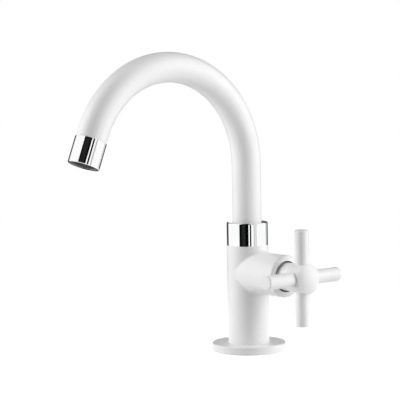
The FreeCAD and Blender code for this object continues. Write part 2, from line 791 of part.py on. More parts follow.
def make_headwork_body():
    """Bonnet: windowed cage, slots for the fixed disc, stop, threaded part, hexagon, spindle guide."""
    body = new_body("headwork_body")
    spin(body, "bonnet", [
        (s.cage_bore_radius, s.cage_end), (s.cage_radius, s.cage_end),
        (s.cage_radius, s.valve_thread_start), (s.valve_thread_radius, s.valve_thread_start),
        (s.valve_thread_radius, s.shoulder_start), (s.shoulder_radius, s.shoulder_start),
        (s.shoulder_radius, s.hex_start), (s.bonnet_neck_radius, s.hex_start),
        (s.bonnet_neck_radius, s.bonnet_top), (s.spindle_bore, s.bonnet_top),
        (s.spindle_bore, s.guide_start), (s.cage_bore_radius, s.guide_start)])
    hexagon = new_sketch(body, "bonnet_hexagon", lift=s.hex_start)
    draw_hexagon(hexagon, s.bonnet_flats)
    draw_circle(hexagon, (s.bonnet_neck_radius + s.spindle_bore) / 2)
    raise_sketch(body, "bonnet_hex", hexagon, s.bonnet_hex_height)
    window = new_sketch(body, "window_outline", "YZ_Plane")
    half = s.window_width / 2
    draw_outline(window, [
        (-half, s.driver_end), (half, s.driver_end),
        (half, s.collar_ring_start), (-half, s.collar_ring_start)])
    cut = raise_sketch(body, "window", window, s.cage_radius + s.overrun, "Pocket", True)
    repeat(body, "windows", [cut], PORTS)
    slots = new_sketch(body, "disc_slot_outline", lift=s.disc_start + s.disc_height)
    draw_key(slots, s.disc_lug_width + s.running_gap * 2, (s.cage_radius + s.overrun) * 2)
    raise_sketch(body, "disc_slots", slots, s.disc_height + s.seat_gasket_height, "Pocket")
    stop = new_sketch(body, "stop_outline", lift=s.collar_ring_start)
    free_half = quarter_turn / 2 + s.stop_half_angle + s.stop_play_angle
    draw_sector(stop, s.collar_ring_radius + s.clear_gap, (s.cage_bore_radius + s.valve_thread_radius) / 2,
                half_turn - free_half)
    raise_sketch(body, "stop", stop, s.collar_ring_height)
    turn_onto_valve(body)


def make_valve_seals():
    """Flat ring under the bonnet's shoulder and rubber ring on the valve seat."""
    seal = ring("headwork_seal", s.valve_thread_radius + s.fit_gap, s.counterbore_radius - s.fit_gap,
                s.counterbore_start, s.shoulder_start)
    turn_onto_valve(seal)
    gasket = ring("seat_gasket", s.seat_hole_radius + s.seat_gasket_room, s.cage_bore_radius - s.fit_gap,
                  s.seat_place, s.disc_start)
    turn_onto_valve(gasket)


def make_disc(label, radius, start):
    """Ceramic disc with two sector ports."""
    body = new_body(label)
    top = start + s.disc_height
    spin(body, f"{label}_blank", [(zero, start), (radius, start), (radius, top), (zero, top)])
    cut_ports(body, start, top + s.overrun)
    return body


def cut_ports(body, start, end):
    """Two sector ports from below a disc's face up to an end place."""
    low = start - s.overrun
    sketch = new_sketch(body, "port_outline", lift=low)
    draw_sector(sketch, s.port_inner_radius, s.port_outer_radius, s.port_half_angle)
    port = raise_sketch(body, "port", sketch, end - low, "Pocket", True)
    repeat(body, "ports", [port], PORTS)


def draw_key(sketch, width, length):
    draw_outline(sketch, [
        (-width / 2, -length / 2), (width / 2, -length / 2),
        (width / 2, length / 2), (-width / 2, length / 2)])


def make_discs():
    """Fixed disc with two lugs, and the moving disc that lies crossed on it while the valve is shut."""
    fixed = make_disc("fixed_disc", s.cage_bore_radius - s.fit_gap, s.disc_start)
    lugs = new_sketch(fixed, "lug_outline", lift=s.disc_start)
    draw_key(lugs, s.disc_lug_width, s.cage_radius * 2)
    raise_sketch(fixed, "lugs", lugs, s.disc_height)
    turn_onto_valve(fixed)
    moving = make_disc("moving_disc", s.disc_radius, s.moving_start)
    slot = new_sketch(moving, "key_slot_outline", lift=s.driver_start + s.overrun)
    draw_key(slot, s.key_width + s.fit_gap * 2, (s.disc_radius + s.overrun) * 2)
    raise_sketch(moving, "key_slot", slot, s.overrun + s.key_height + s.fit_gap, "Pocket")
    turn_onto_valve(moving, crossed=True)


def add_spline(body, name, gap, kind):
    """Straight teeth round the axis, raised on a shaft or cut into a hub."""
    start = s.spline_start
    length = s.spline_end - start
    if kind == "Pocket":
        length = s.web_under - start
    sketch = new_sketch(body, f"{name}_tooth_outline", lift=start)
    half_root = s.spline_pitch * (SPLINE_ROOT_SHARE / 2) + gap
    half_tip = s.spline_pitch * (SPLINE_TIP_SHARE / 2) + gap
    root = s.spline_root_radius - s.spline_tooth_height
    tip = s.spline_tip_radius + gap
    draw_outline(sketch, [(root, -half_root), (tip, -half_tip), (tip, half_tip), (root, half_root)])
    tooth = raise_sketch(body, f"{name}_tooth", sketch, length, kind, kind == "Pocket")
    repeat(body, f"{name}_teeth", [tooth], SPLINE_TEETH)


def spindle_ring_places():
    """Middles of the two ring grooves, in the guide of the bonnet."""
    guide = s.bonnet_top - s.guide_start
    return [s.guide_start + guide * share for share in SPINDLE_RING_SHARES]


def make_spindle():
    """Spindle: keyed driver, thrust collar with a stop lug, ring grooves, clip groove, spline."""
    body = new_body("spindle")
    half_groove = s.spindle_ring_cord + s.running_gap
    points = [
        (zero, s.driver_start), (s.disc_radius, s.driver_start), (s.disc_radius, s.driver_end),
        (s.spindle_radius, s.driver_end), (s.spindle_radius, s.collar_ring_start),
        (s.collar_ring_radius, s.collar_ring_start), (s.collar_ring_radius, s.thrust_start),
        (s.spindle_radius, s.thrust_start)]
    for middle in spindle_ring_places():
        points += [
            (s.spindle_radius, middle - half_groove), (s.spindle_groove, middle - half_groove),
            (s.spindle_groove, middle + half_groove), (s.spindle_radius, middle + half_groove)]
    groove_start = s.clip_start - s.end_float / 2
    groove_end = s.clip_end + s.end_float / 2
    points += [
        (s.spindle_radius, groove_start), (s.clip_groove, groove_start),
        (s.clip_groove, groove_end), (s.spindle_radius, groove_end),
        (s.spindle_radius, s.spline_start), (s.spline_root_radius, s.spline_start),
        (s.spline_root_radius, s.spline_end), (zero, s.spline_end)]
    spin(body, "spindle_turned", points)
    cut_ports(body, s.driver_start, s.driver_end)
    key = new_sketch(body, "key_outline", lift=s.driver_start)
    draw_key(key, s.key_width, s.disc_radius * 2 * cosine(s.port_half_angle / 2))
    raise_sketch(body, "key", key, s.key_height, backward=True)
    lug = new_sketch(body, "stop_lug_outline", lift=s.collar_ring_start, turn=quarter_turn / 2)
    draw_sector(lug, s.spindle_radius - s.fit_gap, s.disc_radius, s.stop_half_angle)
    raise_sketch(body, "stop_lug", lug, s.collar_ring_height)
    add_spline(body, "spline", zero, "Pad")
    hole = s.screw_radius + s.fit_gap
    deep = s.screw_tip - s.clear_gap
    bore(body, "screw_hole", hole, (zero, zero, deep), s.spline_end - deep + s.overrun)
    turn_onto_valve(body, crossed=True)


def make_spindle_rings():
    """Sealing rings, thrust washer and spring clip on the spindle."""
    middle = s.spindle_groove + s.fit_gap + s.spindle_ring_cord
    for label, place in zip(("spindle_ring_inner", "spindle_ring_outer"), spindle_ring_places()):
        turn_onto_valve(o_ring(label, middle, s.spindle_ring_cord, place))
    washer = ring("thrust_washer", s.spindle_bore, s.collar_ring_radius,
                  s.thrust_start + s.end_float / 2, s.guide_start)
    turn_onto_valve(washer)
    clip = ring("spindle_clip", s.clip_groove + s.fit_gap, s.clip_radius, s.clip_start, s.clip_end)
    opening = new_sketch(clip, "clip_opening_outline", lift=s.clip_start - s.overrun)
    half = s.clip_opening / 2
    reach = s.clip_radius + s.overrun
    draw_outline(opening, [(zero, -half), (reach, -half), (reach, half), (zero, half)])
    raise_sketch(clip, "clip_opening", opening, s.clip_height + s.overrun * 2, "Pocket", True)
    turn_onto_valve(clip)


def make_handle_hub():
    """Hub with a hollow skirt, a splined socket, a screw well and four sockets for the arms."""
    body = new_body("handle_hub")
    spline_bore = s.spline_root_radius + s.fit_gap
    screw_hole = s.screw_radius + s.clear_gap
    spin(body, "hub", [
        (s.skirt_bore, s.skirt_start), (s.skirt_radius, s.skirt_start),
        (s.skirt_radius, s.skirt_end), (s.hub_radius, s.skirt_end + s.hub_taper),
        (s.hub_radius, s.hub_front), (s.screw_well, s.hub_front), (s.screw_well, s.web_top),
        (screw_hole, s.web_top), (screw_hole, s.web_under), (spline_bore, s.web_under),
        (spline_bore, s.spline_start), (s.skirt_bore, s.spline_start)])
    add_spline(body, "socket", s.fit_gap, "Pocket")
    for name, radius, depth in (("arm_seat", s.arm_radius, s.arm_seat),
                                ("arm_peg_hole", s.arm_peg_radius, s.arm_peg_end)):
        sketch = new_sketch(body, f"{name}_outline", "YZ_Plane", lift=depth)
        draw_circle(sketch, radius + s.fit_gap, zero, s.cross_place)
        hole = raise_sketch(body, name, sketch, s.hub_radius + s.overrun - depth, "Pocket", True)
        repeat(body, f"{name}s", [hole], HANDLE_ARMS)
    turn_onto_valve(body)


def make_handle_arms():
    """Four round arms, each with a peg in the hub and a softened end."""
    for label, turn in (("handle_arm_top", 0), ("handle_arm_front", 90),
                        ("handle_arm_bottom", 180), ("handle_arm_back", 270)):
        body = new_body(label)
        spin(body, f"{label}_rod", [
            (zero, s.arm_peg_end), (s.arm_peg_radius, s.arm_peg_end), (s.arm_peg_radius, s.arm_seat),
            (s.arm_radius, s.arm_seat), (s.arm_radius, s.arm_reach), (zero, s.arm_reach)])
        round_rims(body, f"{label}_edge", s.arm_edge, [(s.arm_radius, (zero, zero, s.arm_reach))])
        body.Placement = FreeCAD.Placement(
            FreeCAD.Vector(), FreeCAD.Rotation(FreeCAD.Vector(1, 0, 0), turn))
        bind(body, "Placement.Base.x", s.cross_place)
        bind(body, "Placement.Base.z", s.valve_height)


def make_hub_cap():
    """Domed cap pressed into the hub over the screw."""
    body = new_body("hub_cap")
    sketch = new_sketch(body, "cap_outline", "XZ_Plane")
    peg = s.screw_well - s.fit_gap
    low = s.hub_front - s.cap_peg_height
    apex = s.hub_front + s.dome_height
    dome_radius = (square(s.hub_radius) + square(s.dome_height)) / (s.dome_height * 2)
    corners = [(zero, apex), (zero, low), (peg, low), (peg, s.hub_front), (s.hub_radius, s.hub_front)]
    lines = [
        sketch.addGeometry(Part.LineSegment(vector(*start), vector(*end)), False)
        for start, end in zip(corners, corners[1:])]
    for line, following in zip(lines, lines[1:]):
        join(sketch, line, 2, following, 1)
    for line, (x, y) in zip(lines, corners):
        fix(sketch, line, 1, x, y)
    fix(sketch, lines[-1], 2, *corners[-1])
    circle = Part.Circle(vector(zero, apex - dome_radius), FreeCAD.Vector(0, 0, 1), dome_radius.value)
    start_angle = math.acos(s.hub_radius.value / dome_radius.value)
    dome = sketch.addGeometry(Part.ArcOfCircle(circle, start_angle, math.pi / 2), False)
    join(sketch, dome, 1, lines[-1], 2)
    join(sketch, dome, 2, lines[0], 1)
    fix_radius(sketch, dome, dome_radius)
    spin_sketch(body, "cap", sketch)
    turn_onto_valve(body)


def make_handle_screw():
    """Screw that draws the hub onto the spline."""
    body = new_body("handle_screw")
    head_top = s.web_top + s.screw_head_height
    spin(body, "screw", [
        (zero, s.screw_tip), (s.screw_radius, s.screw_tip), (s.screw_radius, s.web_top),
        (s.screw_head_radius, s.web_top), (s.screw_head_radius, head_top), (zero, head_top)])
    turn_onto_valve(body)


make_base_flange()
make_base_gasket()
make_tap_body()
make_threaded_shank()
make_fixing()
make_swivel_collar()
make_swivel_bearings()
make_spout_tail()
make_spout_tube()
make_outlet_nipple()
make_aerator_housing()
make_aerator_washer()
make_jet_breaker()
make_flow_grid()
make_headwork_body()
make_valve_seals()
make_discs()
make_spindle()
make_spindle_rings()
make_handle_hub()
make_handle_arms()
make_hub_cap()
make_handle_screw()
doc.recompute()

for thing in doc.Objects:
    if "Invalid" in thing.State or "Error" in thing.State:
        raise RuntimeError(f"{thing.Name} did not build: {thing.State}")
for piece in pieces:
    if piece.Shape.isNull() or not piece.Shape.isValid() or len(piece.Shape.Solids) != 1:
        raise RuntimeError(f"{piece.Label} is not one valid solid")

os.makedirs("parts", exist_ok=True)
for piece in pieces:
    piece.Shape.exportStep(f"parts/{piece.Label}.step")
print(len(pieces), "pieces written")
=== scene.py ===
import json
import math

import bmesh
import bpy
from mathutils import Matrix, Vector


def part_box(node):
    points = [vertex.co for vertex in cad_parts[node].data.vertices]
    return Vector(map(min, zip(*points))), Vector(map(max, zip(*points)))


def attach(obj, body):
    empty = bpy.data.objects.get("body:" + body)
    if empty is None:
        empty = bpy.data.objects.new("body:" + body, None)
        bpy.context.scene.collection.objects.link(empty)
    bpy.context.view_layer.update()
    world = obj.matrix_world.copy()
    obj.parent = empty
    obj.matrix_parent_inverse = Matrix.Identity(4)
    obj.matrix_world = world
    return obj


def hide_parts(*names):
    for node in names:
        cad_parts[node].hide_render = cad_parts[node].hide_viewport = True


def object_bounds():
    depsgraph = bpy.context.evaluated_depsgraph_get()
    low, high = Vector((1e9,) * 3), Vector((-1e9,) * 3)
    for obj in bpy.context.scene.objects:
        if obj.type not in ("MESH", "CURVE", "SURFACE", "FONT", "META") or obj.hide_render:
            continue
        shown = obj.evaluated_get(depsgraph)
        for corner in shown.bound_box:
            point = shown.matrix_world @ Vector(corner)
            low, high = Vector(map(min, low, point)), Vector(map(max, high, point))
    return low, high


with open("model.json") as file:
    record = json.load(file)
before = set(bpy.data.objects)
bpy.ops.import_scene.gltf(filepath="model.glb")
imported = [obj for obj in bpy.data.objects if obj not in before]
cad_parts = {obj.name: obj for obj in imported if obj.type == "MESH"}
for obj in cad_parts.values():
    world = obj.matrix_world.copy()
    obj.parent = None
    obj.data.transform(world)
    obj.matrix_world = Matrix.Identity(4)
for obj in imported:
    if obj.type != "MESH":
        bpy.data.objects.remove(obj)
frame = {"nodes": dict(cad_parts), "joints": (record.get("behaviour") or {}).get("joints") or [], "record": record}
cad_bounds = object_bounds()

# Basin tap in white enamel with a bright collar and outlet ring, standing on a pale studio floor.
# Metres. Z is up, the spout reaches towards -Y and the valve points along +X.

MM = 0.001
UP = Vector((0, 0, 1))
WHITE = (1, 1, 1)


def add_to_scene(name, data):
    """New object in the scene that holds a mesh, a lamp or a camera."""
    thing = bpy.data.objects.new(name, data)
    bpy.context.scene.collection.objects.link(thing)
    return thing


# Camera of the photograph: where it stands round the tap, and its turns from facing the column

CAMERA_AZIMUTH = math.radians(48.86)
CAMERA_DISTANCE = 1.03188
CAMERA_HEIGHT = 0.18722
CAMERA_PITCH = math.radians(4.01)
CAMERA_YAW = math.radians(-1.97)
CAMERA_ROLL = math.radians(-1.05)
CAMERA_LENS = 122.56
CAMERA_SENSOR = 36.0
CAMERA_NEAREST = 0.01
CAMERA_FARTHEST = 20.0
TOWARDS_CAMERA = Vector((math.sin(CAMERA_AZIMUTH), -math.cos(CAMERA_AZIMUTH), 0))
CAMERA_RIGHT = (-TOWARDS_CAMERA).cross(UP)


def turned_pair(first, second, angle):
    """Turn two square directions in their own plane, the first towards the second."""
    cosine = math.cos(angle)
    sine = math.sin(angle)
    return first * cosine + second * sine, second * cosine - first * sine


def add_camera():
    """Camera that is yawed, pitched down and rolled to the photograph's framing."""
    forward, right = turned_pair(-TOWARDS_CAMERA, CAMERA_RIGHT, CAMERA_YAW)
    forward, top = turned_pair(forward, UP, -CAMERA_PITCH)
    right, top = turned_pair(right, top, CAMERA_ROLL)
    lens = bpy.data.cameras.new("photo_camera")
    lens.lens = CAMERA_LENS
    lens.sensor_width = CAMERA_SENSOR
    lens.clip_start = CAMERA_NEAREST
    lens.clip_end = CAMERA_FARTHEST
    camera = add_to_scene("photo_camera", lens)
    turn = Matrix((right, top, -forward)).transposed().to_4x4()
    place = TOWARDS_CAMERA * CAMERA_DISTANCE + UP * CAMERA_HEIGHT
    camera.matrix_world = Matrix.Translation(place) @ turn
    bpy.context.scene.camera = camera


# Node helpers

def new_node(tree, kind, **settings):
    """Node of a kind, with its settings."""
    node = tree.nodes.new(kind)
    for name, value in settings.items():
        setattr(node, name, value)
    return node


def feed(tree, value, socket):
    """Link a socket to an input, or set the input to a plain value."""
    if isinstance(value, bpy.types.NodeSocket):
        tree.links.new(value, socket)
    else:
        socket.default_value = value


def math_node(tree, operation, *values):
    """Math node whose inputs are sockets or plain numbers."""
    node = new_node(tree, "ShaderNodeMath", operation=operation)
    for value, socket in zip(values, node.inputs):
        feed(tree, value, socket)
    return node.outputs["Value"]


def spread(tree, value, low, high, to_low=0.0, to_high=1.0):
    """Stretch a value between two ends onto two other ends, held inside them."""
    node = new_node(tree, "ShaderNodeMapRange")
    feed(tree, value, node.inputs["Value"])
    feed(tree, low, node.inputs["From Min"])
    feed(tree, high, node.inputs["From Max"])
    feed(tree, to_low, node.inputs["To Min"])
    feed(tree, to_high, node.inputs["To Max"])
    return node.outputs["Result"]


def noise(tree, vector, scale, detail, roughness):
    """Cloudy noise round a middle grey."""
    node = new_node(tree, "ShaderNodeTexNoise")
    feed(tree, vector, node.inputs["Vector"])
    feed(tree, scale, node.inputs["Scale"])
    feed(tree, detail, node.inputs["Detail"])
    feed(tree, roughness, node.inputs["Roughness"])
    return node.outputs["Fac"]


def split(tree, vector):
    """The three coordinates of a vector."""
    node = new_node(tree, "ShaderNodeSeparateXYZ")
    feed(tree, vector, node.inputs["Vector"])
    return node.outputs


def distance_from_axis(tree, first, second):
    """Distance from the axis that is square to two coordinates."""
    squares = [math_node(tree, "MULTIPLY", part, part) for part in (first, second)]
    return math_node(tree, "SQRT", math_node(tree, "ADD", *squares))


def blend_colours(tree, mask, first, second):
    """Mix two colours, each a socket or a plain colour, by a mask."""
    node = new_node(tree, "ShaderNodeMix", data_type="RGBA")
    feed(tree, mask, node.inputs["Factor"])
    ends = [socket for socket in node.inputs if socket.type == "RGBA"]
    for colour, socket in zip((first, second), ends):
        feed(tree, (*colour, 1.0) if isinstance(colour, tuple) else colour, socket)
    return next(socket for socket in node.outputs if socket.type == "RGBA")


def mix_shaders(tree, mask, first, second):
    """Go from one shader node to another by a mask."""
    node = new_node(tree, "ShaderNodeMixShader")
    feed(tree, mask, node.inputs["Fac"])
    feed(tree, first.outputs[0], node.inputs[1])
    feed(tree, second.outputs[0], node.inputs[2])
    return node.outputs[0]


# Effects that the finishes share, as node groups

RIPPLE_FINENESS = 3.1
RIPPLE_SHARE = 0.3
HAIRLINE_TURNS = ((0.3, 0.2, 0.1), (1.4, 0.7, 0.5), (0.6, 1.9, 1.1))
HAIRLINE_STRETCH = (1.0, 1.0, 0.03)


def new_group(name, output, **values):
    """Shader node group with a Vector input, named value inputs and one named value output."""
    group = bpy.data.node_groups.new(name, "ShaderNodeTree")
    group.interface.new_socket("Vector", in_out="INPUT", socket_type="NodeSocketVector")
    for socket, value in values.items():
        made = group.interface.new_socket(socket, in_out="INPUT", socket_type="NodeSocketFloat")
        made.default_value = value
    group.interface.new_socket(output, in_out="OUTPUT", socket_type="NodeSocketFloat")
    given = new_node(group, "NodeGroupInput").outputs
    result = new_node(group, "NodeGroupOutput").inputs
    return group, given, result


def make_slow_patches():
    """Soft uneven patches, such as a thicker or thinner coat."""
    group, given, result = new_group("slow_patches", "Patch", Scale=40.0)
    cloud = noise(group, given["Vector"], given["Scale"], detail=3.0, roughness=0.55)
    feed(group, spread(group, cloud, low=0.3, high=0.7), result["Patch"])
    return group


def make_orange_peel():
    """Gentle dimples of a sprayed and baked coat, with finer ripples between them."""
    group, given, result = new_group("orange_peel", "Peel", Scale=700.0)
    dimples = noise(group, given["Vector"], given["Scale"], detail=1.0, roughness=0.4)
    finer = math_node(group, "MULTIPLY", given["Scale"], RIPPLE_FINENESS)
    ripples = noise(group, given["Vector"], finer, detail=1.0, roughness=0.4)
    faint = math_node(group, "MULTIPLY", ripples, RIPPLE_SHARE)
    feed(group, math_node(group, "ADD", dimples, faint), result["Peel"])
    return group


def make_hairlines():
    """Fine polishing and handling lines that cross in three directions."""
    group, given, result = new_group("hairlines", "Lines", Scale=900.0, Amount=0.5)
    lines = 0.0
    for turn in HAIRLINE_TURNS:
        mapping = new_node(group, "ShaderNodeMapping")
        feed(group, given["Vector"], mapping.inputs["Vector"])
        feed(group, turn, mapping.inputs["Rotation"])
        feed(group, HAIRLINE_STRETCH, mapping.inputs["Scale"])
        streaks = noise(group, mapping.outputs["Vector"], given["Scale"], detail=1.0, roughness=0.5)
        lines = math_node(group, "MAXIMUM", lines, spread(group, streaks, low=0.66, high=0.76))
    feed(group, math_node(group, "MULTIPLY", lines, given["Amount"]), result["Lines"])
    return group


def make_turned_rings():
    """Closely spaced rings that a lathe tool leaves round the Z axis of the given coordinates."""
    group, given, result = new_group("turned_rings", "Rings", Scale=900.0)
    parts = split(group, given["Vector"])
    radius = distance_from_axis(group, parts["X"], parts["Y"])
    travel = math_node(group, "ADD", radius, parts["Z"])
    along = new_node(group, "ShaderNodeCombineXYZ")
    feed(group, math_node(group, "MULTIPLY", travel, given["Scale"]), along.inputs["X"])
    rings = noise(group, along.outputs["Vector"], scale=1.0, detail=3.0, roughness=0.6)
    feed(group, rings, result["Rings"])
    return group


def make_fine_grain():
    """Fine even grain of a mould's surface or of rubber."""
    group, given, result = new_group("fine_grain", "Grain", Scale=2500.0)
    grain = noise(group, given["Vector"], given["Scale"], detail=2.0, roughness=0.6)
    feed(group, grain, result["Grain"])
    return group


slow_patches = make_slow_patches()
orange_peel = make_orange_peel()
hairlines = make_hairlines()
turned_rings = make_turned_rings()
fine_grain = make_fine_grain()


# Axes that turned finishes run round: a point on the axis, and its turn from Z

VALVE_AXIS = next(joint["pos_m"] for joint in frame["joints"] if joint["name"] == "handle_turn")
OUTLET_PLACE = (0, -0.14188, 0.16408)
OUTLET_TILT = math.radians(21.2)
UPRIGHT = ((0, 0, 0), (0, 0, 0))
ALONG_VALVE = (VALVE_AXIS, (0, math.radians(90), 0))
ALONG_JET = (OUTLET_PLACE, (math.pi - OUTLET_TILT, 0, 0))


# Colours of the finishes, most of them in pairs that a mask mixes

ENAMEL_THIN = (0.86, 0.86, 0.86)
ENAMEL_THICK = (0.875, 0.875, 0.872)
# Uncoated metal in the bores, darkened to near black: painted shade for the gap round the handle
BORE_METAL_PAINTED_SHADE = (0.16, 0.155, 0.15)
CHROME_CLEAR = (0.95, 0.955, 0.96)
CHROME_HAZY = (0.965, 0.97, 0.975)
BRASS_BRIGHT = (0.74, 0.55, 0.25)
BRASS_TARNISHED = (0.62, 0.44, 0.19)
ZINC_BRIGHT = (0.66, 0.66, 0.67)
ZINC_DULL = (0.55, 0.56, 0.58)
PLATE_BRIGHT = (0.36, 0.36, 0.37)
PLATE_DULL = (0.28, 0.28, 0.29)
RUBBER_BLACK = (0.018, 0.018, 0.019)
RUBBER_BLOOM = (0.034, 0.034, 0.036)
CERAMIC_PALE = (0.88, 0.87, 0.83)
CERAMIC_SPECKLE = (0.8, 0.78, 0.73)
BEARING_PALE = (0.8, 0.79, 0.74)
BEARING_DEEP = (0.74, 0.73, 0.68)
INSERT_GREY = (0.06, 0.06, 0.064)
INSERT_DEEP = (0.04, 0.04, 0.043)


# Materials

class Finish:
    """A node material with one Principled shader that reads Object coordinates."""

    def __init__(self, name, **constants):
        self.material = bpy.data.materials.new(name)
        self.material.use_nodes = True
        self.tree = self.material.node_tree
        self.shader = self.tree.nodes["Principled BSDF"]
        self.place = new_node(self.tree, "ShaderNodeTexCoord").outputs["Object"]
        for socket, value in constants.items():
            self.shade(socket.replace("_", " "), value)

    def shade(self, socket, value):
        """Give one of the shader's inputs a socket or a plain value."""
        feed(self.tree, value, self.shader.inputs[socket])

    def centred(self, location, rotation=(0, 0, 0)):
        """Coordinates from another origin, turned to another axis."""
        mapping = new_node(self.tree, "ShaderNodeMapping", vector_type="TEXTURE")
        feed(self.tree, self.place, mapping.inputs["Vector"])
        feed(self.tree, location, mapping.inputs["Location"])
        feed(self.tree, rotation, mapping.inputs["Rotation"])
        return mapping.outputs["Vector"]

    def use(self, group, output, vector=None, **values):
        """Place an effect in the material with its own values."""
        node = new_node(self.tree, "ShaderNodeGroup", node_tree=group)
        feed(self.tree, vector or self.place, node.inputs["Vector"])
        for socket, value in values.items():
            feed(self.tree, value, node.inputs[socket])
        return node.outputs[output]

    def colour(self, mask, first, second):
        self.shade("Base Color", blend_colours(self.tree, mask, first, second))

    def roughness(self, mask, low, high):
        self.shade("Roughness", spread(self.tree, mask, 0.0, 1.0, low, high))

    def bump(self, height, depth):
        node = new_node(self.tree, "ShaderNodeBump")
        feed(self.tree, depth, node.inputs["Distance"])
        feed(self.tree, height, node.inputs["Height"])
        self.shade("Normal", node.outputs["Normal"])

    def either(self, first, second, share=1.0):
        """The stronger of two masks, the second at a share of its strength."""
        return math_node(self.tree, "MAXIMUM", first, math_node(self.tree, "MULTIPLY", second, share))

    def plus(self, first, second, share):
        """One mask and a share of another."""
        return math_node(self.tree, "ADD", first, math_node(self.tree, "MULTIPLY", second, share))


ENAMEL_COAT = 0.3
ENAMEL_COAT_ROUGHNESS = 0.3


def spray_enamel(finish):
    """Dimple a finish as sprayed enamel is, and return the mask of its soft patches."""
    finish.bump(finish.use(orange_peel, "Peel", Scale=650.0), depth=0.007 * MM)
    return finish.use(slow_patches, "Patch", Scale=45.0)


def make_white_enamel():
    """Sprayed and baked white coat: smooth gloss, a trace of orange peel, barely uneven in tone."""
    finish = Finish("white_enamel", Coat_Weight=ENAMEL_COAT, Coat_Roughness=ENAMEL_COAT_ROUGHNESS)
    patch = spray_enamel(finish)
    finish.colour(patch, ENAMEL_THIN, ENAMEL_THICK)
    finish.roughness(patch, low=0.32, high=0.4)
    return finish.material


# Radii at which the coat on the body starts, and the widths over which it sets in
SEAL_ROOM = 0.1 * MM
SPIGOT_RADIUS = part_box("spout_bush")[1].x
SPIGOT_EDGE = 1.0 * MM
BORE_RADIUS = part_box("headwork_seal")[1].y + SEAL_ROOM
BORE_EDGE = 0.1 * MM


def make_body_enamel():
    """The same coat on the tap's body, which stops at the mouths of its bores: bare metal inside, coloured near
    black as painted shade in the gap round the handle.
    """
    finish = Finish("body_enamel", Coat_Roughness=ENAMEL_COAT_ROUGHNESS)
    tree = finish.tree
    patch = spray_enamel(finish)
    upright = split(tree, finish.place)
    sideways = split(tree, finish.centred(VALVE_AXIS))
    from_column = distance_from_axis(tree, upright["X"], upright["Y"])
    from_stub = distance_from_axis(tree, sideways["Y"], sideways["Z"])
    in_column = spread(tree, from_column, SPIGOT_RADIUS, SPIGOT_RADIUS + SPIGOT_EDGE, 1.0, 0.0)
    in_bore = spread(tree, from_stub, BORE_RADIUS, BORE_RADIUS + BORE_EDGE, 1.0, 0.0)
    valve_side = spread(tree, upright["X"], 0.0, SPIGOT_RADIUS)
    # Mask of the uncoated bores, which also carries the painted shade there
    bare_and_shaded = finish.either(in_column, math_node(tree, "MULTIPLY", in_bore, valve_side))
    enamel = blend_colours(tree, patch, ENAMEL_THIN, ENAMEL_THICK)
    # Inside the bores the colour is near black: painted shade, where the coat stops and the gap round the handle
    # lies in shade
    finish.colour(bare_and_shaded, enamel, BORE_METAL_PAINTED_SHADE)
    finish.shade("Metallic", bare_and_shaded)
    finish.shade("Coat Weight", spread(tree, bare_and_shaded, 0.0, 1.0, ENAMEL_COAT, 0.0))
    finish.roughness(finish.plus(bare_and_shaded, patch, share=0.4), low=0.32, high=0.52)
    return finish.material


def make_bright_chrome():
    """Polished plate with faint hairlines and a slight haze in patches."""
    finish = Finish("bright_chrome", Metallic=1.0)
    patch = finish.use(slow_patches, "Patch", Scale=120.0)
    lines = finish.use(hairlines, "Lines", Scale=1500.0, Amount=0.5)
    finish.colour(patch, CHROME_CLEAR, CHROME_HAZY)
    finish.roughness(finish.either(lines, patch, share=0.35), low=0.025, high=0.08)
    finish.bump(lines, depth=0.004 * MM)
    return finish.material


def make_turned_brass(name, place, turn):
    """Lathe-turned brass, its rings round the piece's own axis, a little tarnished in patches."""
    finish = Finish(name, Metallic=1.0)
    rings = finish.use(turned_rings, "Rings", finish.centred(place, turn), Scale=1400.0)
    patch = finish.use(slow_patches, "Patch", Scale=160.0)
    finish.colour(patch, BRASS_BRIGHT, BRASS_TARNISHED)
    finish.roughness(finish.plus(rings, patch, share=0.4), low=0.18, high=0.46)
    finish.bump(rings, depth=0.012 * MM)
    return finish.material


def make_plain_steel(name, place, turn):
    """Zinc-plated steel with turning marks and handling lines."""
    finish = Finish(name, Metallic=1.0)
    rings = finish.use(turned_rings, "Rings", finish.centred(place, turn), Scale=1800.0)
    lines = finish.use(hairlines, "Lines", Scale=1200.0, Amount=0.7)
    patch = finish.use(slow_patches, "Patch", Scale=220.0)
    finish.colour(patch, ZINC_BRIGHT, ZINC_DULL)
    finish.roughness(finish.either(rings, lines), low=0.22, high=0.48)
    finish.bump(rings, depth=0.008 * MM)
    return finish.material


def make_satin_plate(name, place, turn):
    """Grey plate over turned brass: the lathe's rings still show through it."""
    finish = Finish(name, Metallic=1.0)
    rings = finish.use(turned_rings, "Rings", finish.centred(place, turn), Scale=1500.0)
    patch = finish.use(slow_patches, "Patch", Scale=180.0)
    finish.colour(patch, PLATE_BRIGHT, PLATE_DULL)
    finish.roughness(finish.plus(rings, patch, share=0.3), low=0.2, high=0.42)
    finish.bump(rings, depth=0.01 * MM)
    return finish.material


def make_black_rubber():
    """Moulded rubber: matt, finely grained, with a grey bloom."""
    finish = Finish("black_rubber", Specular_IOR_Level=0.35)
    grain = finish.use(fine_grain, "Grain", Scale=2600.0)
    bloom = finish.use(slow_patches, "Patch", Scale=110.0)
    finish.colour(bloom, RUBBER_BLACK, RUBBER_BLOOM)
    finish.roughness(finish.plus(grain, bloom, share=0.3), low=0.5, high=0.85)
    finish.bump(grain, depth=0.02 * MM)
    return finish.material


def make_lapped_ceramic():
    """Fired alumina, lapped flat: off-white, faintly speckled, crossed by fine lapping lines."""
    finish = Finish("lapped_ceramic", Coat_Weight=0.2, Coat_Roughness=0.1)
    speckle = finish.use(fine_grain, "Grain", Scale=1500.0)
    lines = finish.use(hairlines, "Lines", Scale=1700.0, Amount=0.5)
    finish.colour(speckle, CERAMIC_PALE, CERAMIC_SPECKLE)
    finish.roughness(finish.either(lines, speckle, share=0.4), low=0.16, high=0.4)
    finish.bump(lines, depth=0.005 * MM)
    return finish.material


